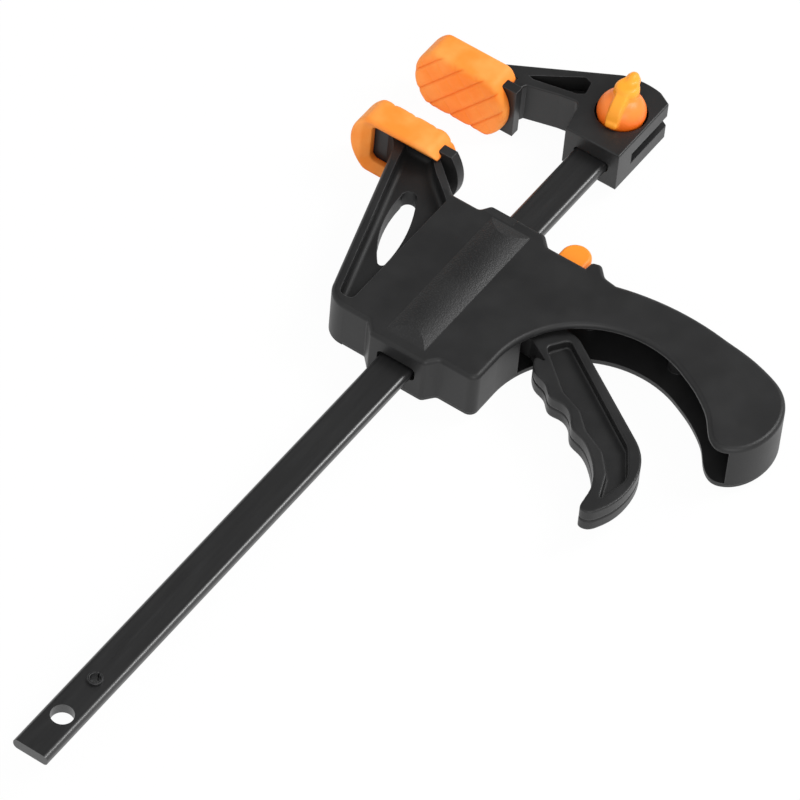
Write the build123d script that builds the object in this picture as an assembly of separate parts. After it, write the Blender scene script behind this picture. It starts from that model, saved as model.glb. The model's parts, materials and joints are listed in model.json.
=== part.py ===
from build123d import *
import os
from math import cos, radians, sin, tan

# Quick release bar clamp, millimetres.
# +X runs along the bar to the fixed jaw, +Y from the bar to the jaws, +Z up.
# The origin is the middle of the hang hole, at mid thickness of the bar.

# --- bar and its stop pin -------------------------------------------------
BAR_WIDTH = 15.0
BAR_THICK = 4.6
BAR_EDGE_ROUND = 1.9
WINDOW_ROUND = 1.6               # corners of the passages for the bar
BAR_BEHIND_HOLE = 18.7          # free end of the bar to the hang hole
BAR_AHEAD_OF_HOLE = 373.3       # hang hole to the jaw end of the bar
HANG_HOLE_RADIUS = 4.4
STOP_PIN_X = 19.4
STOP_PIN_RADIUS = 3.0
STOP_PIN_WALL = 0.9
STOP_PIN_SLIT = 1.0
STOP_PIN_PROUD = 1.2            # how far the pin stands out of each face

# --- fits -----------------------------------------------------------------
PIN_FIT = 0.03                  # a pin in the hole that holds it
RUNNING_FIT = 0.06              # a pin in the hole that turns on it
BAR_GUIDE_GAP = 0.3             # bar in the guide windows of the two jaws
PLATE_GAP = 0.45                # bar in the windows of the loose plates
PAD_FIT = 0.1                   # soft pad over its head
SEAT_GAP = 0.3                  # loose pieces at rest against their seats

# --- fixed jaw, measured from its clamp screw -----------------------------
SCREW_TO_BAR_END = 15.0
JAW_HALF_THICK = 9.5
JAW_FRONT = -20.1
JAW_NEAR_SIDE = -12.2
JAW_EDGE_ROUND = 0.7
JAW_WEB_HALF = 1.6
SLIT_START = -10.3
SLIT_HALF_HEIGHT = 2.75
FIXED_PAD_FRONT = -24.0

# --- pads and the heads that carry them -----------------------------------
PAD_HALF_HEIGHT = 14.5
PAD_FLAT_START = 45.2
PAD_FLAT_END = 73.2
PAD_BULGE = 7.1
PAD_CORNER_ROUND = 4.0
PAD_FRONT_ROUND = 2.4
PAD_BACK_ROUND = 1.6
PAD_FACE_THICK = 4.9
PAD_BACK_LIP = 5.0              # depth of the rim behind the head
PAD_DISH = 2.2                  # how far the back slopes in to its opening
PAD_DISH_WIDTH = 3.4
PAD_SIDE_START = 42.6           # the rim stops here, short of the near end
PAD_LIP_START = 41.4            # the lip behind the head reaches a little further
PAD_BACK_HALF_OPENING = 9.4
PAD_BACK_OPENING_END = 71.6
PAD_BACK_OPENING_ROUND = 2.6
HEAD_THICK = 4.2
HEAD_HALF_HEIGHT = 12.0
HEAD_FAR_CORNER = 71.0
HEAD_FAR_BULGE = 5.6
MOVING_HEAD_NEAR = 37.0
MOVING_HEAD_BULGE = 3.9
FIXED_HEAD_NEAR = 36.2

# --- clamp screw, knob, washer and nut ------------------------------------
SCREW_RADIUS = 2.95
SCREW_HOLE_RADIUS = 3.3
SCREW_HEAD_RADIUS = 5.0
SCREW_HEAD_HEIGHT = 3.5
WASHER_RADIUS = 6.2
WASHER_THICK = 0.9
KNOB_SEAT_Z = 5.0               # floor of the recess that the knob sits in
KNOB_RECESS_RADIUS = 10.5
KNOB_RADIUS = 9.7
KNOB_DOME_CENTRE_Z = 10.4
KNOB_DOME = [(9.0, 7.6), (KNOB_RADIUS, KNOB_DOME_CENTRE_Z), (8.8, 14.0), (6.2, 17.0), (3.0, 18.3)]
KNOB_DOME_TOP_Z = 18.6
CROWN_AHEAD = 2.6               # crown of the dome, ahead of the knob's axis
CROWN_RADIUS = 5.0
CROWN_TOP_Z = 22.2
CROWN_ROUND = 2.2
FIN_THICK = 5.2
FIN_EDGE_ROUND = 0.9
FIN_BOTTOM_Z = 10.0
FIN_LOW_END = (-10.8, 12.2)     # along the fin and up
FIN_HIGH_END = (9.9, 26.6)
FIN_TURN = 8.0                  # degrees, fin against the bar at rest
NUT_ACROSS_FLATS = 10.0
NUT_HEIGHT = 4.8

# --- main body, measured from the rear face of its bar boss ---------------
JAW_OPENING = 29.1              # gap between the pads as the clamp is drawn
BODY_TOP = 10.2
BODY_BOTTOM = -11.6
COVER_THICK = 1.4
COVER_TONGUE = 1.0
BODY_EDGE_ROUND = 1.8
COVER_EDGE_ROUND = 0.6
WALL = 3.0
ROOF = 2.2
REAR_FACE = 4.8
FRONT_FACE = 76.5
FRONT_BOSS = 80.9
BOSS_HALF_WIDTH = 12.2
NEAR_SIDE = -32.1               # wall on the trigger side
ARCH_CENTRE_X = 19.5
ARCH_RADIUS = 40.2
GRIP_SPINE = (80.5, -77.1)      # outermost point of the grip's long spine curve
GRIP_RADIUS = 103.0
GRIP_TOP_Y = -47.4              # the spine curve runs from here to its end
GRIP_END_Y = -93.0
ARCH_END_ANGLE = -25.0
GRIP_CURL = [(77.6, -105.4), (74.8, -116.0), (70.4, -125.0), (62.2, -131.2), (51.8, -133.2),
             (41.6, -131.0), (35.2, -126.2), (32.9, -120.2), (36.2, -114.4), (43.0, -109.0),
             (49.2, -101.6)]        # rounded end of the grip, from spine to arch
TRIGGER_GATE = 31.8             # near wall is open beyond this
POCKET_EDGE = 27.0              # the body's top face ends here
BAR_MOUTH_GAP = 1.0
BAR_MOUTH_DEPTH = 2.0
RIDGE_HALF_WIDTH = 8.8
RIDGE_RISE = 1.7
RIDGE_START = 4.9
RIDGE_END = 75.7
RIDGE_SLOPE = 6.0

# --- arm of the moving jaw ------------------------------------------------
ARM_ROOT = 35.25                # outer line of the arm at the rear face
ARM_SLOPE = 0.305
ARM_ROOT_ROUND = 10.0
ARM_NEAR_END = 42.2             # near line of the arm at the head
ARM_FLARE = (9.0, 4.6)          # the outer rib widens this far from the head, by this much
RIB_WIDTH = 3.6
ARM_WEB_HALF = 3.6
ARM_POCKET_SETBACK = 4.6        # pocket's corners, in from the body's front and rear faces
ARM_POCKET_KNEE = 10.1          # length of the pocket's first short side
POCKET_FLOOR_ROUND = 2.4
ARM_HEAD_HALF = 9.0
MOVING_HEAD_BACK = 89.6

# --- trigger, plates, springs and brake -----------------------------------
PIVOT = (45.5, -21.0)
PIVOT_PIN_RADIUS = 2.5
TRIGGER_HALF_THICK = 5.3
TRIGGER_WEB_HALF = 1.5
TRIGGER_EDGE_ROUND = 0.7
HUB_RADIUS = 7.0
NOSE = (41.5, -11.0)
NOSE_RADIUS = 3.0
PLATE_THICK = 1.6
PLATE_FAR_END = 12.5
PLATE_NEAR_END = -16.0
PLATE_HALF_HEIGHT = 7.4
DRIVE_WIRE = 0.9
DRIVE_TURNS = 6
BRAKE_PIVOT = (66.0, 13.0)
BRAKE_REST_TILT = 6.0
BRAKE_TRAVEL = 4.0
BRAKE_THICK = 3.0
BRAKE_NEAR_END = -31.0
BUTTON_CENTRE = (82.5, -25.4)
BUTTON_RADIUS = 6.1
BUTTON_HALF_HEIGHT = 6.0
BUTTON_ROUND = 1.6
BRAKE_SPRING_Y = -18.5
BRAKE_SPRING_RADIUS = 2.6
BRAKE_WIRE = 0.8
BRAKE_TURNS = 4
SPRING_RIB = (55.5, 58.0)       # rib that the brake spring stands on

# --- cover screws ---------------------------------------------------------
COVER_SCREW_RADIUS = 1.5
COVER_SCREW_HEAD_RADIUS = 2.7
COVER_SCREW_HEAD_HEIGHT = 1.5
COVER_SCREW_END_Z = 3.0
POST_RADIUS = 3.5
POST_JOINT_Z = -5.0
COVER_SCREW_SPOTS = [(11.8, 17.6), (11.8, -24.6), (69.8, 18.2), (69.0, -42.0),
                     (71.0, -80.0), (56.0, -121.0)]

# --- derived --------------------------------------------------------------
BAR_LENGTH = BAR_BEHIND_HOLE + BAR_AHEAD_OF_HOLE
SCREW_X = BAR_AHEAD_OF_HOLE - SCREW_TO_BAR_END
MOVING_PAD_FRONT = MOVING_HEAD_BACK + HEAD_THICK + PAD_FACE_THICK
BODY_X = SCREW_X + FIXED_PAD_FRONT - JAW_OPENING - MOVING_PAD_FRONT
COVER_SEAM = BODY_BOTTOM + COVER_THICK
CHAMBER_TOP = BODY_TOP - ROOF
CHAMBER_BOTTOM = COVER_SEAM + COVER_TONGUE
CHAMBER_REAR = REAR_FACE + WALL - 0.3
CHAMBER_FRONT = FRONT_FACE - WALL
CHAMBER_FAR = POCKET_EDGE - WALL - 1.3
ARCH_CENTRE = (ARCH_CENTRE_X, NEAR_SIDE - ARCH_RADIUS)
GRIP_CENTRE = (GRIP_SPINE[0] - GRIP_RADIUS, GRIP_SPINE[1])
DRIVE_SPRING_RADIUS = (BAR_WIDTH / 2) + 0.35 + DRIVE_WIRE / 2
SPRING_ROOM_RADIUS = DRIVE_SPRING_RADIUS + DRIVE_WIRE / 2 + SEAT_GAP
PLATE_FRONT = NOSE[0] - NOSE_RADIUS - PIN_FIT - 0.35
PLATE_STACK_REAR = PLATE_FRONT - 2 * PLATE_THICK - PIN_FIT


# --- small drawing helpers ------------------------------------------------
def block(x, y, z):
    """Box between three pairs of faces."""
    size = (x[1] - x[0], y[1] - y[0], z[1] - z[0])
    middle = ((x[0] + x[1]) / 2, (y[0] + y[1]) / 2, (z[0] + z[1]) / 2)
    return Pos(*middle) * Box(*size)


def slab(face, bottom, top):
    """A plan view face raised between two heights."""
    return extrude(Pos(0, 0, bottom) * face, amount=top - bottom)


def post(spot, radius, bottom, top):
    """Upright cylinder."""
    return Pos(spot[0], spot[1], (bottom + top) / 2) * Cylinder(radius, top - bottom)


def round_corners(face, corners):
    """Round plan corners, given as (point, radius) pairs."""
    for point, radius in corners:
        corner = face.vertices().sort_by_distance(Vector(*point))[0]
        face = fillet(corner, radius)
    return face


def on_circle(centre, radius, angle):
    """Plan point at an angle in degrees on a circle."""
    return (centre[0] + radius * cos(radians(angle)), centre[1] + radius * sin(radians(angle)))


def at_height(centre, radius, y):
    """Plan point on the +X side of a circle at a given y."""
    return (centre[0] + (radius ** 2 - (y - centre[1]) ** 2) ** 0.5, y)


def across_bar(x):
    """Plane square to the bar at x, with its own X along +Y and its own Y up."""
    return Plane(origin=(x, 0, 0), x_dir=(0, 1, 0), z_dir=(1, 0, 0))


def bar_window(x_start, x_end, gap):
    """Passage for the bar with a gap all round."""
    section = RectangleRounded(BAR_WIDTH + 2 * gap, BAR_THICK + 2 * gap, WINDOW_ROUND)
    return extrude(across_bar(x_start) * section, amount=x_end - x_start)


def coil(radius, wire, turns, start, end, y):
    """Compression spring along X between two seats."""
    height = end - start - wire
    base = (start + wire / 2, y, 0)
    path = Helix(height / turns, height, radius, center=base, direction=(1, 0, 0))
    section = Plane(origin=path @ 0, z_dir=path % 0) * Circle(wire / 2)
    return sweep(section, path, is_frenet=True)


# --- bar assembly ---------------------------------------------------------
def bar():
    """Flat steel bar with a hang hole, a stop pin hole and a jaw screw hole."""
    section = RectangleRounded(BAR_WIDTH, BAR_THICK, BAR_EDGE_ROUND)
    body = extrude(across_bar(-BAR_BEHIND_HOLE) * section, amount=BAR_LENGTH)
    body -= post((0, 0), HANG_HOLE_RADIUS, -BAR_THICK, BAR_THICK)
    body -= post((STOP_PIN_X, 0), STOP_PIN_RADIUS + PIN_FIT, -BAR_THICK, BAR_THICK)
    return body - post((SCREW_X, 0), SCREW_HOLE_RADIUS, -BAR_THICK, BAR_THICK)


def stop_pin():
    """Slotted spring pin that stops the clamp body sliding off the bar."""
    reach = BAR_THICK / 2 + STOP_PIN_PROUD
    tube = post((STOP_PIN_X, 0), STOP_PIN_RADIUS, -reach, reach)
    tube = chamfer(tube.edges(), STOP_PIN_WALL / 3)
    tube -= post((STOP_PIN_X, 0), STOP_PIN_RADIUS - STOP_PIN_WALL, -reach, reach)
    slit_x = (STOP_PIN_X, STOP_PIN_X + STOP_PIN_RADIUS)
    return tube - block(slit_x, (-STOP_PIN_SLIT / 2, STOP_PIN_SLIT / 2), (-reach, reach))


# --- pads and heads, drawn facing +X with their front at x = 0 ------------
def pad_section(inset):
    """Barrel shaped pad outline, square to the bar."""
    top = PAD_HALF_HEIGHT - inset
    near = (PAD_FLAT_START, top)
    far = (PAD_FLAT_END, top)
    near_bulge = (PAD_FLAT_START - PAD_BULGE + inset, 0)
    far_bulge = (PAD_FLAT_END + PAD_BULGE - inset, 0)
    outline = [
        Line(near, far),
        ThreePointArc(far, far_bulge, (far[0], -top)),
        Line((far[0], -top), (near[0], -top)),
        ThreePointArc((near[0], -top), near_bulge, near),
    ]
    face = make_face(outline)
    return fillet(face.vertices(), PAD_CORNER_ROUND)


def head_section(near_edge, near_bulge, grow):
    """Outline of the plate that a pad is stretched over, square to the bar."""
    top = HEAD_HALF_HEIGHT + grow
    near = near_edge - grow
    far = HEAD_FAR_CORNER
    far_bulge = (HEAD_FAR_CORNER + HEAD_FAR_BULGE + grow, 0)
    outline = [
        Line((near, top), (far, top)),
        ThreePointArc((far, top), far_bulge, (far, -top)),
        Line((far, -top), (near, -top)),
    ]
    if near_bulge:
        outline.append(ThreePointArc((near, -top), (near - near_bulge, 0), (near, top)))
    else:
        outline.append(Line((near, -top), (near, top)))
    return make_face(outline)


def pad_opening(grow):
    """Outline of the opening in the back of a pad, square to the bar."""
    half = PAD_BACK_HALF_OPENING + grow
    length = PAD_BACK_OPENING_END + grow
    opening = RectangleRounded(2 * length, 2 * half, PAD_BACK_OPENING_ROUND + grow / 2)
    return opening & Pos(length, 0) * Rectangle(2 * length, 2 * half)


def pad():
    """Soft slip-on pad: a face, a rim round the head and a lip behind it."""
    depth = PAD_FACE_THICK + HEAD_THICK + PAD_BACK_LIP
    body = extrude(across_bar(-depth) * pad_section(0), amount=depth)
    body = fillet(body.faces().sort_by(Axis.X)[-1].edges(), PAD_FRONT_ROUND)
    body = fillet(body.faces().sort_by(Axis.X)[0].edges(), PAD_BACK_ROUND)
    pocket = head_section(FIXED_HEAD_NEAR, 0, PAD_FIT)
    room = HEAD_THICK + PAD_FIT
    body -= extrude(across_bar(-PAD_FACE_THICK - room) * pocket, amount=room)
    body -= extrude(across_bar(-depth) * pad_opening(0), amount=depth - PAD_FACE_THICK)
    outer = across_bar(-depth) * pad_opening(PAD_DISH_WIDTH)
    inner = across_bar(-depth + PAD_DISH) * pad_opening(0)
    body -= loft([outer, inner])
    tall = (-PAD_HALF_HEIGHT, PAD_HALF_HEIGHT)
    body -= block((-PAD_FACE_THICK - room, -PAD_FACE_THICK), (0, PAD_SIDE_START), tall)
    return body - block((-depth, -PAD_FACE_THICK - room), (0, PAD_LIP_START), tall)


def fixed_jaw_pad():
    """Pad of the fixed jaw, facing the clamp body."""
    turned = Rot(0, 0, 180) * pad()
    return Pos(SCREW_X + FIXED_PAD_FRONT, 0, 0) * mirror(turned, Plane.XZ)


def moving_jaw_pad():
    """Pad of the moving jaw, facing the fixed jaw."""
    return Pos(BODY_X + MOVING_PAD_FRONT, 0, 0) * pad()


# --- fixed jaw ------------------------------------------------------------
def fixed_jaw_outline():
    """Plan view of the clamp block with its raked arm."""
    head_back = FIXED_PAD_FRONT + PAD_FACE_THICK + HEAD_THICK
    bar_end = (SCREW_TO_BAR_END, JAW_NEAR_SIDE)
    edges = [
        Line((JAW_FRONT, JAW_NEAR_SIDE), bar_end),
        Line(bar_end, (18.2, -6.5)),
        ThreePointArc((18.2, -6.5), (18.9, 0.5), (17.0, 10.4)),
        Line((17.0, 10.4), (head_back, 64.1)),
        Line((head_back, 64.1), (head_back, 38.5)),
        Line((head_back, 38.5), (-10.8, 36.7)),
        Line((-10.8, 36.7), (-7.0, 23.5)),
        Line((-7.0, 23.5), (-5.6, 15.6)),
        Line((-5.6, 15.6), (JAW_FRONT, 12.4)),
        Line((JAW_FRONT, 12.4), (JAW_FRONT, JAW_NEAR_SIDE)),
    ]
    corners = [((-5.6, 15.6), 2.2), ((17.0, 10.4), 6.0), ((18.2, -6.5), 4.0),
               ((-7.0, 23.5), 6.0), (bar_end, 0.9)]
    return round_corners(make_face(edges), corners)


def fixed_jaw_pocket():
    """Tapering pocket in each side of the arm."""
    corners = [(-5.9, 38.9), (6.9, 21.1), (5.7, 17.6), (-0.6, 16.2), (-2.6, 19.1), (-6.6, 36.6)]
    face = make_face(Polyline(*corners, close=True))
    return round_corners(face, [((5.7, 17.6), 1.2), ((-0.6, 16.2), 1.2), ((6.9, 21.1), 1.2)])


def fixed_jaw():
    """Moulded jaw that grips the end of the bar by a slit and a clamp screw."""
    half = JAW_HALF_THICK
    body = slab(fixed_jaw_outline(), -half, half)
    body = fillet(body.faces().sort_by(Axis.Z)[-1].edges(), JAW_EDGE_ROUND)
    body = fillet(body.faces().sort_by(Axis.Z)[0].edges(), JAW_EDGE_ROUND)
    head = head_section(FIXED_HEAD_NEAR, 0, 0)
    head_front = FIXED_PAD_FRONT + PAD_FACE_THICK
    body += extrude(across_bar(head_front) * head, amount=HEAD_THICK)
    lip_x = (head_front + HEAD_THICK, head_front + HEAD_THICK + PAD_BACK_LIP + 2 * PAD_FIT)
    for side in (1, -1):
        lip_z = sorted((side * ARM_HEAD_HALF, side * JAW_HALF_THICK))
        body -= block(lip_x, (PAD_LIP_START - PAD_FIT, PAD_FLAT_END), lip_z)
    body -= slab(fixed_jaw_pocket(), JAW_WEB_HALF, half)
    body -= slab(fixed_jaw_pocket(), -half, -JAW_WEB_HALF)
    body -= bar_window(JAW_FRONT, SCREW_TO_BAR_END + SEAT_GAP, BAR_GUIDE_GAP)
    slit_end = SCREW_TO_BAR_END * 2
    slit_far = BAR_WIDTH / 2 + BAR_GUIDE_GAP
    slit_height = (-SLIT_HALF_HEIGHT, SLIT_HALF_HEIGHT)
    body -= block((SLIT_START, slit_end), (JAW_NEAR_SIDE * 2, slit_far), slit_height)
    body -= post((0, 0), SCREW_HOLE_RADIUS, -half, half)
    body -= post((0, 0), KNOB_RECESS_RADIUS, KNOB_SEAT_Z, half)
    nut_room = hexagon(NUT_ACROSS_FLATS + 2 * PAD_FIT)
    body -= slab(nut_room, -half, -half + NUT_HEIGHT + PIN_FIT)
    return Pos(SCREW_X, 0, 0) * body


# --- clamp screw, knob, washer and nut ------------------------------------
def hexagon(across_flats):
    """Hexagon lying with two flats square to Y."""
    return RegularPolygon(across_flats / 2, 6, major_radius=False)


def screw_shape(grow):
    """Clamp screw with its hex head, moulded into the knob."""
    shank_end = -JAW_HALF_THICK + 0.3
    head_bottom = KNOB_DOME_CENTRE_Z - SCREW_HEAD_HEIGHT / 2
    shank = post((0, 0), SCREW_RADIUS + grow, shank_end, head_bottom)
    head = hexagon(2 * (SCREW_HEAD_RADIUS + grow))
    return shank + slab(head, head_bottom - grow, head_bottom + SCREW_HEAD_HEIGHT + grow)


def knob_screw():
    """Steel clamp screw that turns with the knob."""
    return Pos(SCREW_X, 0, 0) * screw_shape(0)


def knob():
    """Wing knob: a dome with a raked fin across it."""
    seat = KNOB_SEAT_Z + WASHER_THICK
    foot = (KNOB_DOME[0][0], seat)
    top = (0, KNOB_DOME_TOP_Z)
    half = make_face([Line((0, seat), foot), Line(foot, KNOB_DOME[0]),
                      Spline(*KNOB_DOME, top), Line(top, (0, seat))])
    body = revolve(Plane.XZ * half, Axis.Z)
    crown = post((CROWN_AHEAD, 0), CROWN_RADIUS, KNOB_DOME_CENTRE_Z, CROWN_TOP_Z)
    crown = fillet(crown.edges().sort_by(Axis.Z)[-1], CROWN_ROUND)
    profile = make_face(Polyline((FIN_LOW_END[0], FIN_BOTTOM_Z), (FIN_HIGH_END[0], FIN_BOTTOM_Z),
                                 FIN_HIGH_END, FIN_LOW_END, close=True))
    profile = round_corners(profile, [(FIN_HIGH_END, 3.0), (FIN_LOW_END, 1.5)])
    fin = extrude(Plane.XZ * profile, amount=FIN_THICK / 2, both=True)
    fin = fillet(fin.edges().filter_by(Plane.XZ), FIN_EDGE_ROUND)
    turn = Rot(0, 0, FIN_TURN)
    body += turn * fin
    body += turn * crown
    body -= screw_shape(PIN_FIT)
    return Pos(SCREW_X, 0, 0) * body


def knob_washer():
    """Plain washer between the knob and the jaw."""
    top = KNOB_SEAT_Z + WASHER_THICK
    ring = post((SCREW_X, 0), WASHER_RADIUS, KNOB_SEAT_Z, top)
    return ring - post((SCREW_X, 0), SCREW_HOLE_RADIUS, KNOB_SEAT_Z, top)


def jaw_nut():
    """Hex nut held in the underside of the fixed jaw."""
    bottom = -JAW_HALF_THICK
    nut = slab(hexagon(NUT_ACROSS_FLATS), bottom, bottom + NUT_HEIGHT)
    nut -= post((0, 0), SCREW_RADIUS + RUNNING_FIT, bottom, bottom + NUT_HEIGHT)
    return Pos(SCREW_X, 0, 0) * nut


# --- clamp body -----------------------------------------------------------
def body_edges(arm):
    """Plan outline of the body, with the arm or cut straight at the pocket edge."""
    arch_start = (ARCH_CENTRE_X, NEAR_SIDE)
    arch_middle = on_circle(ARCH_CENTRE, ARCH_RADIUS, 30)
    arch = ThreePointArc(arch_start, arch_middle, on_circle(ARCH_CENTRE, ARCH_RADIUS, ARCH_END_ANGLE))
    spine_top = at_height(GRIP_CENTRE, GRIP_RADIUS, GRIP_TOP_Y)
    spine_end = at_height(GRIP_CENTRE, GRIP_RADIUS, GRIP_END_Y)
    spine = ThreePointArc(spine_top, on_circle(GRIP_CENTRE, GRIP_RADIUS, 0), spine_end)
    curl = Spline(spine_end, *GRIP_CURL, arch @ 1, tangents=(spine % 1, -(arch % 1)))
    start = (REAR_FACE, POCKET_EDGE)
    edges = [
        Line(start, (REAR_FACE, 16.8)),
        Line((REAR_FACE, 16.8), (0, BOSS_HALF_WIDTH)),
        Line((0, BOSS_HALF_WIDTH), (0, -BOSS_HALF_WIDTH)),
        Line((0, -BOSS_HALF_WIDTH), (REAR_FACE, -16.0)),
        Line((REAR_FACE, -16.0), (REAR_FACE, NEAR_SIDE)),
        Line((REAR_FACE, NEAR_SIDE), arch_start),
        arch,
        curl,
        spine,
        Line(spine_top, (77.0, -41.8)),
        Line((77.0, -41.8), (81.6, -37.4)),
        Line((81.6, -37.4), (80.4, -33.6)),
        Line((80.4, -33.6), (FRONT_FACE, -33.2)),
        Line((FRONT_FACE, -33.2), (FRONT_FACE, -16.5)),
        Line((FRONT_FACE, -16.5), (FRONT_BOSS, -BOSS_HALF_WIDTH)),
        Line((FRONT_BOSS, -BOSS_HALF_WIDTH), (FRONT_BOSS, BOSS_HALF_WIDTH)),
        Line((FRONT_BOSS, BOSS_HALF_WIDTH), (FRONT_FACE, 15.0)),
        Line((FRONT_FACE, 15.0), (FRONT_FACE, POCKET_EDGE)),
    ]
    if not arm:
        return edges + [Line((FRONT_FACE, POCKET_EDGE), start)]
    head = MOVING_HEAD_BACK
    flare_x = head - ARM_FLARE[0]
    flare_start = (flare_x, ARM_ROOT + ARM_SLOPE * (flare_x - REAR_FACE))
    flare_end = (head, flare_start[1] + ARM_SLOPE * ARM_FLARE[0] + ARM_FLARE[1])
    return edges + [
        Line((FRONT_FACE, POCKET_EDGE), (head, ARM_NEAR_END)),
        Line((head, ARM_NEAR_END), flare_end),
        TangentArc(flare_start, flare_end, tangent=(1, ARM_SLOPE)),
        Line(flare_start, (REAR_FACE, ARM_ROOT)),
        Line((REAR_FACE, ARM_ROOT), start),
    ]


def body_plan(arm):
    """Plan face of the body with its corners rounded."""
    corners = [((REAR_FACE, 16.8), 1.2), ((0, BOSS_HALF_WIDTH), 1.2),
               ((0, -BOSS_HALF_WIDTH), 2.5), ((REAR_FACE, -16.0), 2.0),
               ((REAR_FACE, NEAR_SIDE), 3.6),
               ((77.0, -41.8), 4.0), ((81.6, -37.4), 1.9), ((80.4, -33.6), 1.7),
               ((FRONT_FACE, -16.5), 2.0), ((FRONT_BOSS, -BOSS_HALF_WIDTH), 2.2),
               ((FRONT_BOSS, BOSS_HALF_WIDTH), 2.2), ((FRONT_FACE, 15.0), 2.0)]
    if arm:
        corners += [((REAR_FACE, ARM_ROOT), ARM_ROOT_ROUND)]
    return round_corners(make_face(body_edges(arm)), corners)


def chamber_plan():
    """Plan of the hollow for the mechanism, open to the trigger and the grip."""
    inner_arch = ARCH_RADIUS + WALL
    wall_start = (ARCH_CENTRE_X, NEAR_SIDE + WALL)
    gate_y = ARCH_CENTRE[1] + (inner_arch ** 2 - (TRIGGER_GATE - ARCH_CENTRE_X) ** 2) ** 0.5
    gate = (TRIGGER_GATE, gate_y)
    knee = (GRIP_CURL[1][0] - WALL, GRIP_CURL[1][1])
    sole = (GRIP_CURL[4][0], GRIP_CURL[4][1] + WALL)
    toe = (GRIP_CURL[6][0] + WALL, GRIP_CURL[6][1] + WALL / 2)
    mouth = (GRIP_CURL[7][0] - WALL, toe[1])
    spine_end = at_height(GRIP_CENTRE, GRIP_RADIUS - WALL, GRIP_END_Y)
    spine_top = at_height(GRIP_CENTRE, GRIP_RADIUS - WALL, GRIP_TOP_Y)
    corner = (CHAMBER_FRONT, CHAMBER_FAR)
    edges = [
        Line(corner, (CHAMBER_REAR, CHAMBER_FAR)),
        Line((CHAMBER_REAR, CHAMBER_FAR), (CHAMBER_REAR, NEAR_SIDE + WALL)),
        Line((CHAMBER_REAR, NEAR_SIDE + WALL), wall_start),
        ThreePointArc(wall_start, on_circle(ARCH_CENTRE, inner_arch, 82), gate),
        Line(gate, (TRIGGER_GATE, -60)),
        Line((TRIGGER_GATE, -60), (26.0, -100)),
        Line((26.0, -100), mouth),
        Line(mouth, toe),
        Line(toe, sole),
        SagittaArc(sole, knee, -2 * WALL),
        Line(knee, spine_end),
        ThreePointArc(spine_end, on_circle(GRIP_CENTRE, GRIP_RADIUS - WALL, 0), spine_top),
        Line(spine_top, corner),
    ]
    return make_face(edges)


def arm_pocket_plan():
    """Plan of the recess between the two ribs of the arm."""
    near_slope = (ARM_NEAR_END - POCKET_EDGE) / (MOVING_HEAD_BACK - FRONT_FACE)
    near = (FRONT_FACE - ARM_POCKET_SETBACK, POCKET_EDGE)
    end = MOVING_HEAD_BACK
    knee = (near[0] + ARM_POCKET_KNEE, near[1] + near_slope * ARM_POCKET_KNEE)
    outer_drop = RIB_WIDTH * (1 + ARM_SLOPE ** 2) ** 0.5
    outer_end = ARM_ROOT - outer_drop + ARM_SLOPE * (end - REAR_FACE)
    left_x = REAR_FACE + ARM_POCKET_SETBACK
    left_y = ARM_ROOT - outer_drop + ARM_SLOPE * (left_x - REAR_FACE)
    points = [(left_x, POCKET_EDGE), near, knee, (end, ARM_NEAR_END + RIB_WIDTH),
              (end, outer_end), (left_x, left_y)]
    face = make_face(Polyline(*points, close=True))
    rounds = [((left_x, left_y), 2.6), ((left_x, POCKET_EDGE), 2.2), (knee, 4.0), (near, 1.2)]
    return round_corners(face, rounds)


def arm_window_plan():
    """Spindle shaped hole through the web of the arm."""
    low = (32.2, 30.2)
    near = (69.8, 39.0)
    far = (68.4, 45.0)
    edges = [
        ThreePointArc(low, (49.0, 41.2), far),
        ThreePointArc(far, (72.5, 42.6), near),
        ThreePointArc(near, (53.0, 32.2), low),
    ]
    return round_corners(make_face(edges), [(low, 1.6)])


def ridge():
    """Low arched ridge over the bar passage with sloping ends."""
    base = BODY_TOP - ROOF / 2
    half = RIDGE_HALF_WIDTH
    top = BODY_TOP + RIDGE_RISE
    outline = [
        Line((-half, base), (half, base)),
        Line((half, base), (half, BODY_TOP)),
        ThreePointArc((half, BODY_TOP), (0, top), (-half, BODY_TOP)),
        Line((-half, BODY_TOP), (-half, base)),
    ]
    bump = extrude(across_bar(RIDGE_START) * make_face(outline), amount=RIDGE_END - RIDGE_START)
    side = make_face(Polyline((RIDGE_START, base), (RIDGE_END, base), (RIDGE_END, BODY_TOP),
                              (RIDGE_END - RIDGE_SLOPE, top), (RIDGE_START + RIDGE_SLOPE, top),
                              (RIDGE_START, BODY_TOP), close=True))
    return bump & extrude(Plane.XZ * side, amount=half, both=True)


def arm_taper():
    """Wedges that thin the arm from the body's height to its head."""
    head = MOVING_HEAD_BACK
    lip = head - PAD_BACK_LIP - 2 * PAD_FIT
    wedges = []
    for side, skin in ((1, BODY_TOP), (-1, BODY_BOTTOM)):
        thin = side * ARM_HEAD_HALF
        profile = Polyline((FRONT_FACE, skin), (lip, thin), (head, thin),
                           (head, 2 * skin), (FRONT_FACE, 2 * skin), close=True)
        wedges.append(extrude(Plane.XZ * make_face(profile), amount=-head))
    return wedges


def mouths(ends):
    """Wide mouths of the bar passage, each a short way in from an end face."""
    section = RectangleRounded(BAR_WIDTH + 2 * BAR_MOUTH_GAP, BAR_THICK + 2 * BAR_MOUTH_GAP,
                               WINDOW_ROUND + BAR_MOUTH_GAP / 2)
    return [extrude(across_bar(x) * section, amount=BAR_MOUTH_DEPTH) for x in ends]


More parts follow.
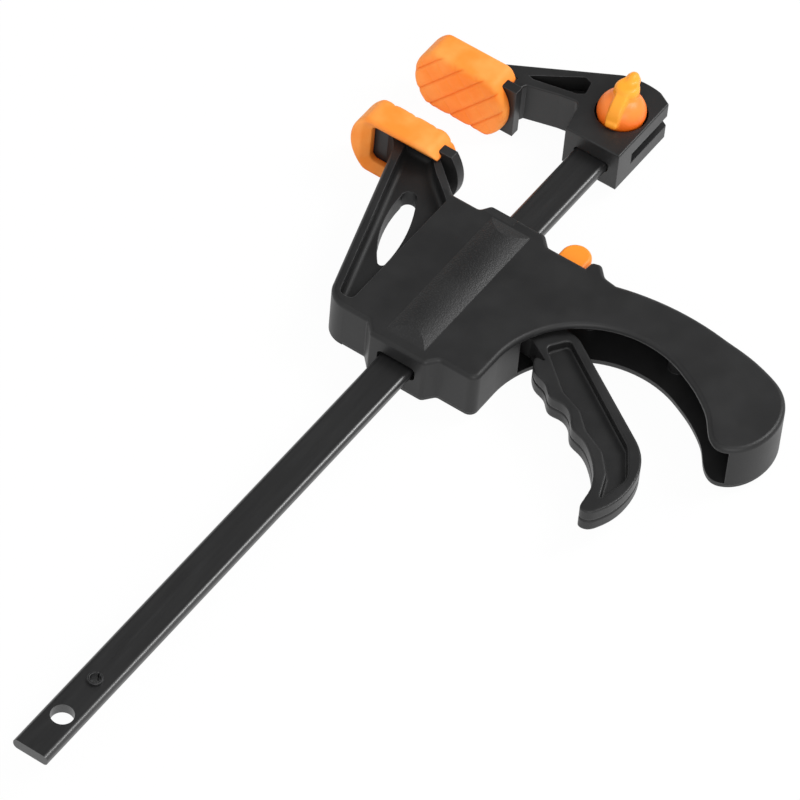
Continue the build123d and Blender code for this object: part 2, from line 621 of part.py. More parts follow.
def button_slot():
    """Slot in the front wall for the release button and its swing."""
    side = BUTTON_RADIUS + SEAT_GAP
    swing = (FRONT_FACE - BRAKE_PIVOT[0] + BUTTON_RADIUS) * sin(radians(BRAKE_TRAVEL))
    y = (BUTTON_CENTRE[1] - side - swing, BUTTON_CENTRE[1] + side)
    height = BUTTON_HALF_HEIGHT + SEAT_GAP
    return block((CHAMBER_FRONT - 1, FRONT_BOSS + 2), y, (-height, height))


def main_body():
    """Moulded body: gearbox for the plates, grip shell and the moving jaw's arm."""
    body = slab(body_plan(True), COVER_SEAM, BODY_TOP)
    body = fillet(body.faces().sort_by(Axis.Z)[-1].edges(), BODY_EDGE_ROUND)
    below = 2 * GRIP_RADIUS
    arm_foot = body_plan(True) - Pos(0, POCKET_EDGE - below) * Rectangle(2 * below, 2 * below)
    body += slab(arm_foot, BODY_BOTTOM, COVER_SEAM)
    body += ridge()
    for wedge in arm_taper():
        body -= wedge
    pocket = slab(arm_pocket_plan(), ARM_WEB_HALF, BODY_TOP - BODY_BOTTOM)
    pocket = fillet(pocket.faces().sort_by(Axis.Z)[0].edges(), POCKET_FLOOR_ROUND)
    body -= pocket
    body -= mirror(pocket, Plane.XY)
    body -= slab(arm_window_plan(), BODY_BOTTOM, BODY_TOP)
    head = head_section(MOVING_HEAD_NEAR, MOVING_HEAD_BULGE, 0)
    body += extrude(across_bar(MOVING_HEAD_BACK) * head, amount=HEAD_THICK)
    body -= slab(chamber_plan(), COVER_SEAM, CHAMBER_TOP)
    room = across_bar(CHAMBER_REAR) * Circle(SPRING_ROOM_RADIUS)
    body -= extrude(room, amount=PLATE_FRONT - CHAMBER_REAR)
    rib_y = (-26.0, -BAR_WIDTH / 2 - BAR_MOUTH_GAP)
    body += block(SPRING_RIB, rib_y, (CHAMBER_BOTTOM + SEAT_GAP, CHAMBER_TOP))
    ledge_x = BRAKE_PIVOT[0] + BRAKE_THICK / 2 + 0.9
    ledge_z = (CHAMBER_BOTTOM + SEAT_GAP, CHAMBER_TOP)
    body += block((ledge_x, CHAMBER_FRONT), (9.0, 13.6), ledge_z)
    for spot in COVER_SCREW_SPOTS:
        body += post(spot, POST_RADIUS, POST_JOINT_Z, CHAMBER_TOP)
        body -= post(spot, COVER_SCREW_RADIUS + PIN_FIT, POST_JOINT_Z, COVER_SCREW_END_Z + 1)
    body -= bar_window(0, FRONT_BOSS, BAR_GUIDE_GAP)
    for mouth in mouths((0, FRONT_BOSS - BAR_MOUTH_DEPTH)):
        body -= mouth
    body -= button_slot()
    pin_top = CHAMBER_TOP + ROOF / 2
    body -= post(PIVOT, PIVOT_PIN_RADIUS + PIN_FIT, COVER_SEAM, pin_top)
    return Pos(BODY_X, 0, 0) * body


def back_cover():
    """Cover plate under the body and grip, with a tongue and screw bosses inside."""
    plan = body_plan(False)
    cover = slab(plan, BODY_BOTTOM, COVER_SEAM)
    cover = fillet(cover.faces().sort_by(Axis.Z)[0].edges(), COVER_EDGE_ROUND)
    tongue = offset(chamber_plan(), amount=-PAD_FIT) & plan
    cover += slab(tongue, COVER_SEAM, CHAMBER_BOTTOM)
    room = across_bar(CHAMBER_REAR) * Circle(SPRING_ROOM_RADIUS)
    cover -= extrude(room, amount=PLATE_FRONT - CHAMBER_REAR)
    for spot in COVER_SCREW_SPOTS:
        cover += post(spot, POST_RADIUS, BODY_BOTTOM + COVER_EDGE_ROUND, POST_JOINT_Z)
        cover -= post(spot, COVER_SCREW_RADIUS + 2 * PIN_FIT, BODY_BOTTOM, POST_JOINT_Z)
        seat = BODY_BOTTOM + COVER_SCREW_HEAD_HEIGHT
        cover -= post(spot, COVER_SCREW_HEAD_RADIUS + PAD_FIT, BODY_BOTTOM, seat)
    cover -= post(PIVOT, PIVOT_PIN_RADIUS + PIN_FIT, COVER_SEAM, CHAMBER_BOTTOM)
    return Pos(BODY_X, 0, 0) * cover


def cover_screws():
    """Pan head screws that hold the cover to the posts of the body."""
    screws = []
    for spot in COVER_SCREW_SPOTS:
        seat = BODY_BOTTOM + COVER_SCREW_HEAD_HEIGHT
        head = post(spot, COVER_SCREW_HEAD_RADIUS, BODY_BOTTOM + PIN_FIT, seat)
        rim = head.edges().sort_by(Axis.Z)[0]
        head = fillet(rim, COVER_SCREW_HEAD_HEIGHT / 2)
        for turn in (0, 90):
            slot = Rot(0, 0, turn) * Box(COVER_SCREW_HEAD_RADIUS, 0.7, 1.2)
            head -= Pos(spot[0], spot[1], BODY_BOTTOM) * slot
        shank = post(spot, COVER_SCREW_RADIUS, seat, COVER_SCREW_END_Z)
        screws.append(Pos(BODY_X, 0, 0) * (head + shank))
    return Compound(screws)


# --- trigger and mechanism ------------------------------------------------
def trigger_plan():
    """Plan outline of the trigger lever with its finger scallops and hooked end."""
    root = (37.5, -35.5)
    hub_left = (PIVOT[0] - HUB_RADIUS, PIVOT[1])
    hub_right = (PIVOT[0] + HUB_RADIUS, PIVOT[1])
    shoulder = (49.4, -48.7)
    heel = (21.3, -92.2)
    hook = [(16.4, -98.0), (9.6, -102.0), (1.0, -103.8), (-8.0, -103.2), (-14.8, -100.7),
            (-18.8, -97.0), (-18.6, -94.2), (-16.0, -93.2)]
    fingers = [(-8.8, -92.2), (-1.6, -88.8), (4.9, -83.0), (9.4, -76.0), (11.2, -70.8),
               (15.9, -67.0), (18.8, -61.6), (18.9, -56.0), (22.9, -51.3), (25.4, -45.2),
               (31.8, -41.6), root]
    back = Line(shoulder, heel)
    edges = [
        Line(hub_left, hub_right),
        Line(hub_right, shoulder),
        back,
        Spline(heel, *hook, *fingers, tangents=(back % 1, (0.5, 1.0))),
        Line(root, hub_left),
    ]
    return round_corners(make_face(edges), [(shoulder, 12.0)])


def trigger_pocket_plan():
    """Plan of the lightening pocket inside the trigger's rim."""
    points = [(38.4, -41.6), (46.4, -47.0), (16.4, -92.0), (3.4, -100.6), (-10.8, -97.6),
              (0.6, -93.2), (8.6, -86.2), (13.6, -75.6), (20.2, -68.6), (23.8, -58.8)]
    face = make_face(Polyline(*points, close=True))
    rounds = [(points[1], 2.0), (points[2], 7.0), (points[3], 8.0), (points[6], 5.0),
              (points[7], 5.0), (points[8], 5.0), (points[9], 4.0), (points[0], 2.0)]
    return round_corners(face, rounds)


def trigger():
    """Moulded trigger: hub on the pivot pin, nose against the drive plates, finger lever."""
    half = TRIGGER_HALF_THICK
    lever = slab(trigger_plan(), -half, half)
    for face in (lever.faces().sort_by(Axis.Z)[-1], lever.faces().sort_by(Axis.Z)[0]):
        lever = fillet(face.edges(), TRIGGER_EDGE_ROUND)
    nose_end = Pos(*NOSE) * Circle(NOSE_RADIUS)
    nose_root = Pos(*PIVOT) * Circle(HUB_RADIUS * 0.8)
    nose = make_hull(nose_end.edges() + nose_root.edges())
    lever += slab(nose, -half, half)
    hub_half = CHAMBER_TOP - SEAT_GAP
    lever += post(PIVOT, HUB_RADIUS, -hub_half, hub_half)
    lever -= slab(trigger_pocket_plan(), TRIGGER_WEB_HALF, half)
    lever -= slab(trigger_pocket_plan(), -half, -TRIGGER_WEB_HALF)
    lever -= post(PIVOT, PIVOT_PIN_RADIUS + RUNNING_FIT, -hub_half, hub_half)
    return Pos(BODY_X, 0, 0) * lever


def trigger_pivot_pin():
    """Steel pin that the trigger turns on, held in the body and the cover."""
    pin = post(PIVOT, PIVOT_PIN_RADIUS, COVER_SEAM + PIN_FIT, CHAMBER_TOP + ROOF / 2 - PIN_FIT)
    return Pos(BODY_X, 0, 0) * chamfer(pin.edges(), PIVOT_PIN_RADIUS / 8)


def drive_plate(front):
    """One stamped steel plate that bites on the bar and pushes the body along it."""
    length = PLATE_FAR_END - PLATE_NEAR_END
    section = Pos((PLATE_FAR_END + PLATE_NEAR_END) / 2, 0) * RectangleRounded(
        length, 2 * PLATE_HALF_HEIGHT, 2.0)
    section -= RectangleRounded(BAR_WIDTH + 2 * PLATE_GAP, BAR_THICK + 2 * PLATE_GAP, 0.6)
    plate = extrude(across_bar(front - PLATE_THICK) * section, amount=PLATE_THICK)
    return Pos(BODY_X, 0, 0) * plate


def drive_spring():
    """Return spring round the bar, between the rear wall and the drive plates."""
    start = CHAMBER_REAR + PIN_FIT
    end = PLATE_STACK_REAR - PIN_FIT
    spring = coil(DRIVE_SPRING_RADIUS, DRIVE_WIRE, DRIVE_TURNS, start, end, 0)
    return Pos(BODY_X, 0, 0) * spring


def brake_blank(grow):
    """Brake lever before it is tilted: a plate with a tongue for the button."""
    x = (BRAKE_PIVOT[0] - BRAKE_THICK / 2 - grow, BRAKE_PIVOT[0] + BRAKE_THICK / 2 + grow)
    wide = PLATE_HALF_HEIGHT
    tongue = BUTTON_HALF_HEIGHT / 2 + grow
    shoulder = BUTTON_CENTRE[1] + BUTTON_RADIUS + 1.0
    plate = block(x, (shoulder, BRAKE_PIVOT[1] + 1.0), (-wide, wide))
    return plate + block(x, (BRAKE_NEAR_END - grow, shoulder), (-tongue, tongue))


def tilt_brake(shape):
    """Turn a brake piece about its seat to the angle that it locks at."""
    there = Pos(BRAKE_PIVOT[0], BRAKE_PIVOT[1], 0)
    return there * Rot(0, 0, BRAKE_REST_TILT) * there.inverse() * shape


def brake_lever():
    """Steel plate that tilts on the bar and holds the body against sliding back."""
    slant = BRAKE_THICK * tan(radians(BRAKE_REST_TILT))
    lever = tilt_brake(brake_blank(0))
    width = BAR_WIDTH + 2 * PLATE_GAP + 2 * slant
    window = RectangleRounded(width, BAR_THICK + 2 * PLATE_GAP, 0.6)
    start = BRAKE_PIVOT[0] - 3 * BRAKE_THICK
    lever -= extrude(across_bar(start) * window, amount=6 * BRAKE_THICK)
    return Pos(BODY_X, 0, 0) * lever


def release_button():
    """Push button on the end of the brake lever."""
    inner = BRAKE_PIVOT[0] + 1.2
    y = (BUTTON_CENTRE[1] - BUTTON_RADIUS, BUTTON_CENTRE[1] + BUTTON_RADIUS)
    half = BUTTON_HALF_HEIGHT
    button = block((inner, BUTTON_CENTRE[0]), y, (-half, half))
    button += post(BUTTON_CENTRE, BUTTON_RADIUS, -half, half)
    rims = button.faces().sort_by(Axis.Z)
    button = fillet(rims[0].edges() + rims[-1].edges(), BUTTON_ROUND)
    button -= tilt_brake(brake_blank(PAD_FIT / 2))
    return Pos(BODY_X, 0, 0) * button


def brake_spring():
    """Small spring that keeps the brake lever tilted."""
    reach = BRAKE_PIVOT[1] - BRAKE_SPRING_Y - BRAKE_SPRING_RADIUS - BRAKE_WIRE
    plate_back = BRAKE_PIVOT[0] - BRAKE_THICK / 2 + reach * tan(radians(BRAKE_REST_TILT))
    start = SPRING_RIB[1] + PIN_FIT
    end = plate_back - SEAT_GAP
    spring = coil(BRAKE_SPRING_RADIUS, BRAKE_WIRE, BRAKE_TURNS, start, end, BRAKE_SPRING_Y)
    return Pos(BODY_X, 0, 0) * spring


PIECES = {
    "bar": bar,
    "stop_pin": stop_pin,
    "fixed_jaw": fixed_jaw,
    "fixed_jaw_pad": fixed_jaw_pad,
    "knob": knob,
    "knob_screw": knob_screw,
    "knob_washer": knob_washer,
    "jaw_nut": jaw_nut,
    "main_body": main_body,
    "back_cover": back_cover,
    "cover_screws": cover_screws,
    "moving_jaw_pad": moving_jaw_pad,
    "trigger": trigger,
    "trigger_pivot_pin": trigger_pivot_pin,
    "drive_plate_front": lambda: drive_plate(PLATE_FRONT),
    "drive_plate_rear": lambda: drive_plate(PLATE_STACK_REAR + PLATE_THICK),
    "drive_spring": drive_spring,
    "brake_lever": brake_lever,
    "release_button": release_button,
    "brake_spring": brake_spring,
}

os.makedirs("parts", exist_ok=True)
for name, build in PIECES.items():
    export_step(build(), f"parts/{name}.step")
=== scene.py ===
import json
from math import cos, radians, sin

import bmesh
import bpy
import numpy as np
from mathutils import Euler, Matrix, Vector


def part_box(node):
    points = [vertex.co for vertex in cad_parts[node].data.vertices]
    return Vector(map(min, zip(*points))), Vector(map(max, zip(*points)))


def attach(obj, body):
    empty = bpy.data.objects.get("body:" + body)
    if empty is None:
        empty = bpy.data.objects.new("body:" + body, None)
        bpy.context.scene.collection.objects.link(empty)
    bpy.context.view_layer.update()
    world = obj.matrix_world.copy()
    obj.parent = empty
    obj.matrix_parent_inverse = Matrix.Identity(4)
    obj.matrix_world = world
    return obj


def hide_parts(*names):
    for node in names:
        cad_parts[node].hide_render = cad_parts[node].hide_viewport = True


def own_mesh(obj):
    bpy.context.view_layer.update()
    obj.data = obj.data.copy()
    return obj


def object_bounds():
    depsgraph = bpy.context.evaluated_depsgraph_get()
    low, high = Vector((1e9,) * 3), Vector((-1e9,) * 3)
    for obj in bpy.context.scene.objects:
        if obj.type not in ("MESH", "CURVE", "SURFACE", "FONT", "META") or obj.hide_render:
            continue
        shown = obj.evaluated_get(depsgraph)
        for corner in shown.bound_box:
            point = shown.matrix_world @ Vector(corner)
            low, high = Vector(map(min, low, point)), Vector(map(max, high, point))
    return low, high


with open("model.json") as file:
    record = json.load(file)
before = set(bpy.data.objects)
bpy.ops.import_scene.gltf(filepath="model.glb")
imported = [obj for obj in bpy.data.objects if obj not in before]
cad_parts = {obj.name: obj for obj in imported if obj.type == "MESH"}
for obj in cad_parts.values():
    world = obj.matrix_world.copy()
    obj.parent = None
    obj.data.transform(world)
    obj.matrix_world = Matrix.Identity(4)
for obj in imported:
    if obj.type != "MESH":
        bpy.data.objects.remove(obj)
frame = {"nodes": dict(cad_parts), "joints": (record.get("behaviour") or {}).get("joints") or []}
cad_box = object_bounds()

# --- bar --------------------------------------------------------------------
# A flat steel bar with rounded edges, rolled, drilled and then baked in a thin
# black coating. The coating is satin, and rubbed a little along the edges where
# the body slides; the lighter edges are partly a painted edge highlight.
BAR_BLACK = (0.005, 0.005, 0.0053, 1)
# Lighter tone of the rub marks, and of the edges, where it is partly a painted highlight.
BAR_RUBBED_AND_SHEEN = (0.026, 0.026, 0.027, 1)
# Width of the rubbed edges and their painted highlight.
BAR_EDGE_WEAR_AND_SHEEN = 0.0004
EDGE_SHARPNESS = (0.995, 0.80)    # how far the softened normal still agrees: no wear, full wear


class Wire:
    """A value that runs between nodes; arithmetic on it adds Math nodes."""

    def __init__(self, tree, socket=None):
        self.tree, self.socket = tree, socket

    def make(self, kind, inputs, output=0, **settings):
        """Add a node, feed its inputs, and return one of its outputs.

        A kind without Node in its name is a shader node.
        """
        node = self.tree.nodes.new(kind if "Node" in kind else "ShaderNode" + kind)
        for name, value in settings.items():
            setattr(node, name, value)
        for key, value in inputs.items():
            if isinstance(value, Wire):
                self.tree.links.new(value.socket, node.inputs[key])
            else:
                node.inputs[key].default_value = value
        return Wire(self.tree, node.outputs[output])

    def beside(self, output):
        """Another output of the same node."""
        return Wire(self.tree, self.socket.node.outputs[output])

    def math(self, how, other=0.0):
        return self.make("Math", {0: self, 1: other}, operation=how)

    def __add__(self, other):
        return self.math("ADD", other)

    def __sub__(self, other):
        return self.math("SUBTRACT", other)

    def __rsub__(self, other):
        return self.make("Math", {0: other, 1: self}, operation="SUBTRACT")

    def __mul__(self, other):
        return self.math("MULTIPLY", other)

    __radd__, __rmul__ = __add__, __mul__

    def ramp(self, low, high, start=0.0, end=1.0):
        """Smooth step from start to end as the value goes from low to high."""
        return self.make("MapRange", {0: self, 1: low, 2: high, 3: start, 4: end},
                         interpolation_type="SMOOTHSTEP")

    def blend(self, first, second):
        """Mix two colours by this value."""
        return self.make("Mix", {0: self, 6: first, 7: second}, output=2, data_type="RGBA")


def new_finish(name, gloss, metal=0.0):
    """Start a material; returns it, its shader, the place on the piece and a free wire."""
    finish = bpy.data.materials.new(name)
    finish.use_nodes = True
    shader = finish.node_tree.nodes["Principled BSDF"]
    shader.inputs["Specular IOR Level"].default_value = gloss
    shader.inputs["Metallic"].default_value = metal
    free = Wire(finish.node_tree)
    return finish, shader, free.make("TexCoord", {}, output="Object"), free


def edge_wear_and_sheen(free, radius):
    """Softened normal of sharp edges, and how near a point is to an edge."""
    soft = free.make("Bevel", {"Radius": radius}, samples=6)
    flat = free.make("NewGeometry", {}, output="Normal")
    agree = free.make("VectorMath", {0: soft, 1: flat}, output="Value", operation="DOT_PRODUCT")
    return soft, agree.ramp(*EDGE_SHARPNESS)


def join(wire, shader, name):
    wire.tree.links.new(wire.socket, shader.inputs[name])


def raise_skin(shader, height, strength, deep, soft=None):
    """Fine relief from a height, on the softened normal where one is given."""
    inputs = {"Strength": strength, "Distance": deep, "Height": height}
    if soft:
        inputs["Normal"] = soft
    join(height.make("Bump", inputs), shader, "Normal")


def coated_steel():
    """Baked black coating: faint orange peel, long rub marks, and rubbed edges that also carry a
    painted highlight.
    """
    finish, shader, place, free = new_finish("black_coating", gloss=0.9)
    shader.inputs["Coat Weight"].default_value = 0.2
    shader.inputs["Coat Roughness"].default_value = 0.34
    _, edge = edge_wear_and_sheen(free, BAR_EDGE_WEAR_AND_SHEEN)
    peel = free.make("TexNoise", {"Vector": place, "Scale": 900.0, "Detail": 2.0})
    along = free.make("Mapping", {"Vector": place, "Scale": (40.0, 700.0, 300.0)})
    rub = free.make("TexNoise", {"Vector": along, "Scale": 1.0, "Detail": 3.0})
    # Edges lighter: partly wear, partly a painted edge highlight.
    tone = (edge * 0.6 + rub.ramp(0.55, 0.80, 0.0, 0.12)).blend(BAR_BLACK, BAR_RUBBED_AND_SHEEN)
    join(tone, shader, "Base Color")
    join(rub.ramp(0.3, 0.7, 0.32, 0.36), shader, "Roughness")
    raise_skin(shader, peel, strength=0.10, deep=0.000004)
    return finish


def dress(mesh, finish):
    """Give a mesh one finish."""
    mesh.materials.clear()
    mesh.materials.append(finish)


def finish_node(name, finish):
    """Give a carried-over CAD solid its finish."""
    dress(frame["nodes"][name].data, finish)


finish_node("bar", coated_steel())

# --- stop pin ---------------------------------------------------------------
# A slotted spring pin rolled from steel strip and blacked in oil. It is driven
# into the bar so that both ends stand a little proud.
PIN_GREY = (0.012, 0.012, 0.013, 1)
PIN_BARE = (0.22, 0.22, 0.22, 1)
PIN_WORN_EDGE = 0.0003


def blacked_steel():
    """Oil blacking over bare steel that shows at the rubbed rim."""
    finish, shader, place, free = new_finish("oil_blacked_steel", gloss=0.5, metal=0.3)
    soft, edge = edge_wear_and_sheen(free, PIN_WORN_EDGE)
    stain = free.make("TexNoise", {"Vector": place, "Scale": 1200.0, "Detail": 4.0})
    join((edge * stain.ramp(0.3, 0.7, 0.2, 1.0)).blend(PIN_GREY, PIN_BARE), shader, "Base Color")
    join(stain.ramp(0.2, 0.8, 0.35, 0.55), shader, "Roughness")
    raise_skin(shader, stain, strength=0.3, deep=0.00003, soft=soft)
    return finish


finish_node("stop_pin", blacked_steel())

# --- clamp screw, washer, nut and cover screws -------------------------------
# Stock fasteners, cold formed and bright zinc plated. The screw is moulded into
# the knob, the nut sits in a hexagonal seat, and six screws hold the back cover.
ZINC = (0.62, 0.63, 0.64, 1)
ZINC_DULL = (0.40, 0.41, 0.43, 1)
ZINC_WORN_EDGE = 0.0002


def zinc_plate():
    """Bright zinc with a cloudy passivated film."""
    finish, shader, place, free = new_finish("zinc_plate", gloss=0.5, metal=1.0)
    soft, edge = edge_wear_and_sheen(free, ZINC_WORN_EDGE)
    cloud = free.make("TexNoise", {"Vector": place, "Scale": 500.0, "Detail": 5.0})
    join((cloud.ramp(0.35, 0.7) - edge * 0.5).blend(ZINC, ZINC_DULL), shader, "Base Color")
    join(cloud.ramp(0.2, 0.8, 0.24, 0.42), shader, "Roughness")
    raise_skin(shader, cloud, strength=0.2, deep=0.00002, soft=soft)
    return finish


bright_zinc = zinc_plate()
for fastener in ("knob_screw", "knob_washer", "jaw_nut", "cover_screws"):
    finish_node(fastener, bright_zinc)

# --- fixed jaw --------------------------------------------------------------
# Injection moulded in black glass-filled nylon, with a slit through the bar
# passage that the clamp screw pulls shut. Its skin is finely spark eroded, and
# its edges are crisp.
NYLON_BLACK = (0.0125, 0.0125, 0.0128, 1)
NYLON_GREY = (0.0165, 0.0165, 0.0168, 1)
# Pale edge colour: some wear, mostly a painted edge highlight; also the colour of the sanded ridge's
# grit.
NYLON_EDGE_SHEEN_AND_GRIT = (0.090, 0.090, 0.092, 1)
# Painted shade in hollows and corners.
NYLON_PAINTED_SHADE = (0.003, 0.003, 0.003, 1)
# Width of the edge wear and painted edge highlight.
JAW_EDGE_WEAR_AND_SHEEN = 0.0004
SAND_FADE_ALONG = 0.002           # a sanded patch fades out over these lengths
SAND_FADE_ACROSS = 0.0006


def spark_eroded_nylon(name, edge_radius, gloss, matte, sand=None):
    """Satin black nylon, with painted shade where it is shut in and a painted highlight with some wear
    on its edges; sand is a coarser patch (low, high).
    """
    finish, shader, place, free = new_finish(name, gloss=gloss)
    soft, edge = edge_wear_and_sheen(free, edge_radius)
    cloud = free.make("TexNoise", {"Vector": place, "Scale": 55.0, "Detail": 5.0})
    pit = free.make("TexNoise", {"Vector": place, "Scale": 2400.0, "Detail": 2.0})
    glint = free.make("TexVoronoi", {"Vector": place, "Scale": 1500.0}, output="Distance")
    skin = cloud.ramp(0.35, 0.70).blend(NYLON_BLACK, NYLON_GREY)
    # Painted edge highlight, mixed with some wear.
    wear_and_sheen = edge * cloud.ramp(0.30, 0.62, 0.25, 0.8)
    relief = pit * 0.7 + glint * 0.3
    # Painted shade: darker where the surface is shut in by other faces.
    hollow = free.make("AmbientOcclusion", {"Distance": 0.012}, output="AO", samples=6)
    shade_mask = hollow.ramp(0.15, 0.60, 1.0, 0.0)
    if sand:
        (from_x, from_y), (to_x, to_y) = sand
        along = free.make("SeparateXYZ", {0: place}, output="X")
        across = along.beside("Y")
        inside = (along.ramp(from_x, from_x + SAND_FADE_ALONG)
                  * along.ramp(to_x, to_x - SAND_FADE_ALONG)
                  * across.ramp(from_y, from_y + SAND_FADE_ACROSS)
                  * across.ramp(to_y, to_y - SAND_FADE_ACROSS))
        grit = free.make("TexNoise", {"Vector": place, "Scale": 1500.0, "Detail": 1.0})
        relief = relief + inside * grit.ramp(0.40, 0.62) * 1.6
        skin = (inside * grit.ramp(0.55, 0.72, 0.0, 0.12)).blend(skin, NYLON_EDGE_SHEEN_AND_GRIT)
    join(shade_mask.blend(wear_and_sheen.blend(skin, NYLON_EDGE_SHEEN_AND_GRIT), NYLON_PAINTED_SHADE), shader, "Base Color")
    join(cloud.ramp(0.30, 0.70, matte, matte + 0.07) + shade_mask * 0.4, shader, "Roughness")
    raise_skin(shader, relief, strength=0.5, deep=0.00005, soft=soft)
    return finish


jaw_nylon = spark_eroded_nylon("jaw_nylon", JAW_EDGE_WEAR_AND_SHEEN, gloss=0.42, matte=0.34)
finish_node("fixed_jaw", jaw_nylon)

# --- jaw pads ---------------------------------------------------------------
# Two slip-on pads moulded in soft orange rubber, stretched over the heads of the
# jaws. The gripping face has a diamond pattern of round grooves that run out over
# its rim, so that the rim is wavy.
PAD_GRID = 0.00034                # spacing of the resampled skin
PAD_SOFTENING = 3
WELD_DISTANCE = 1e-6
GROOVE_ANGLE = radians(50.4)      # grooves against the length of the pad
GROOVE_PITCH = 0.00744
GROOVE_HALF_WIDTH = 0.00038
GROOVE_DEPTHS = ((-1, 0.00045), (1, 0.00012))   # the two sets of grooves
GROOVE_RUN_OUT = (0.0002, 0.0016)  # grooves fade out between these depths
PAD_PATTERN_CENTRE = 0.05604
RIM_WAVE = 0.00034
RIM_WAVE_SPREAD = 4.0             # a wave is this many times as wide as its groove
RIM_WAVE_RUN_OUT = (0.0005, 0.0030)
RUBBER_ORANGE = (0.98, 0.275, 0.028, 1)
# Painted shade in the grooves and hollows.
RUBBER_PAINTED_SHADE = (0.95, 0.175, 0.010, 1)
RUBBER_PALE = (1.0, 0.36, 0.07, 1)


def add_object(name, data):
    """Put a mesh, a lamp or a camera in the scene."""
    thing = bpy.data.objects.new(name, data)
    bpy.context.scene.collection.objects.link(thing)
    return thing


def welded_copy(node_name, add=None):
    """Copy a solid's mesh with its seams welded; add puts more faces in it."""
    mesh = frame["nodes"][node_name].data.copy()
    shell = bmesh.new()
    shell.from_mesh(mesh)
    bmesh.ops.remove_doubles(shell, verts=shell.verts, dist=WELD_DISTANCE)
    if add:
        add(shell)
    shell.to_mesh(mesh)
    shell.free()
    return mesh


def resample(node_name, piece_name, spacing, softening, add=None, press=None):
    """Copy a solid as one even, softened skin; add adds to it, press is (tree, sizes)."""
    raw = add_object(piece_name + "_raw", welded_copy(node_name, add))
    grid = raw.modifiers.new("grid", "REMESH")
    grid.mode, grid.voxel_size = "VOXEL", spacing
    soften = raw.modifiers.new("soften", "SMOOTH")
    soften.factor, soften.iterations = 0.5, softening
    if press:
        tree, sizes = press
        pressed = raw.modifiers.new("press", "NODES")
        pressed.node_group = tree
        for socket in tree.interface.items_tree:
            if socket.in_out == "INPUT" and socket.name in sizes:
                pressed[socket.identifier] = sizes[socket.name]
    graph = bpy.context.evaluated_depsgraph_get()
    skin = bpy.data.meshes.new_from_object(raw.evaluated_get(graph))
    skin.name = piece_name
    bpy.data.objects.remove(raw)
    skin.polygons.foreach_set("use_smooth", np.ones(len(skin.polygons), dtype=bool))
    return add_object(piece_name, skin)


def groove_tree(rubber):
    """Geometry nodes that press the grooves and the wavy rim into a pad's skin."""
    tree = bpy.data.node_groups.new("pad_grooves", "GeometryNodeTree")
    for way in ("INPUT", "OUTPUT"):
        tree.interface.new_socket("Geometry", in_out=way, socket_type="NodeSocketGeometry")
    for name, value in (("Front", 0.0), ("Angle", GROOVE_ANGLE), ("Pitch", GROOVE_PITCH),
                        ("Half Width", GROOVE_HALF_WIDTH), ("Centre", PAD_PATTERN_CENTRE),
                        ("Rim Wave", RIM_WAVE)):
        socket = tree.interface.new_socket(name, in_out="INPUT", socket_type="NodeSocketFloat")
        socket.default_value = value
    free = Wire(tree)
    skin = free.make("NodeGroupInput", {}, output="Geometry")
    given = skin.beside
    x = free.make("SeparateXYZ", {0: free.make("GeometryNodeInputPosition", {})}, output="X")
    y, z = x.beside("Y"), x.beside("Z")
    behind = (x - given("Front")).math("ABSOLUTE")
    sets = []
    for side, deep in GROOVE_DEPTHS:
        across = ((y - given("Centre")) * given("Angle").math("SINE")
                  - z * given("Angle").math("COSINE") * side)
        away = (across.math("DIVIDE", given("Pitch")).math("FRACT") - 0.5).math("ABSOLUTE")
        widths = (away * given("Pitch")).math("DIVIDE", given("Half Width"))
        groove = (1.0 - widths * widths).math("MAXIMUM", 0.0)
        wave = (1.0 - widths * (1.0 / RIM_WAVE_SPREAD)).math("MAXIMUM", 0.0)
        sets.append((groove * deep, wave * (deep / GROOVE_DEPTHS[0][1])))
    grooves, waves = (first.math("MAXIMUM", second) for first, second in zip(*sets))
    relief = (grooves * behind.ramp(*GROOVE_RUN_OUT, 1.0, 0.0)
              + waves * given("Rim Wave") * behind.ramp(*RIM_WAVE_RUN_OUT, 1.0, 0.0))
    inward = free.make("VectorMath", {0: free.make("GeometryNodeInputNormal", {}),
                                      "Scale": relief * -1.0}, operation="SCALE")
    pressed = free.make("GeometryNodeSetPosition", {"Geometry": skin, "Offset": inward})
    whole = free.make("GeometryNodeRealizeInstances", {"Geometry": pressed})
    dressed = free.make("GeometryNodeSetMaterial", {"Geometry": whole, "Material": rubber})
    tree.links.new(dressed.socket, tree.nodes.new("NodeGroupOutput").inputs["Geometry"])
    return tree


def soft_rubber():
    """Soft satin rubber: fine mould grain, and painted shade in the hollows."""
    finish, shader, place, free = new_finish("orange_rubber", gloss=0.30)
    cloud = free.make("TexNoise", {"Vector": place, "Scale": 70.0, "Detail": 4.0})
    grain = free.make("TexNoise", {"Vector": place, "Scale": 2600.0, "Detail": 2.0})
    # Painted shade: darker where grooves and recesses are shut in.
    hollow = free.make("AmbientOcclusion", {"Distance": 0.004}, output="AO", samples=8)
    tone = cloud.ramp(0.35, 0.70).blend(RUBBER_ORANGE, RUBBER_PALE)
    join(hollow.ramp(0.35, 0.95, 0.9, 0.0).blend(tone, RUBBER_PAINTED_SHADE), shader, "Base Color")
    join(cloud.ramp(0.30, 0.70, 0.50, 0.62), shader, "Roughness")
    raise_skin(shader, grain, strength=0.35, deep=0.00004)
    return finish


pad_grooves = groove_tree(soft_rubber())
for pad_name, body_name, facing in (("fixed_jaw_pad", "bar_assembly", -1),
                                    ("moving_jaw_pad", "clamp_body", 1)):
    low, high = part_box(pad_name)
    front = high[0] if facing > 0 else low[0]
    pad = resample(pad_name, pad_name + "_grip", PAD_GRID, PAD_SOFTENING,
                   press=(pad_grooves, {"Front": front}))
    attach(pad, body_name)
    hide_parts(pad_name)

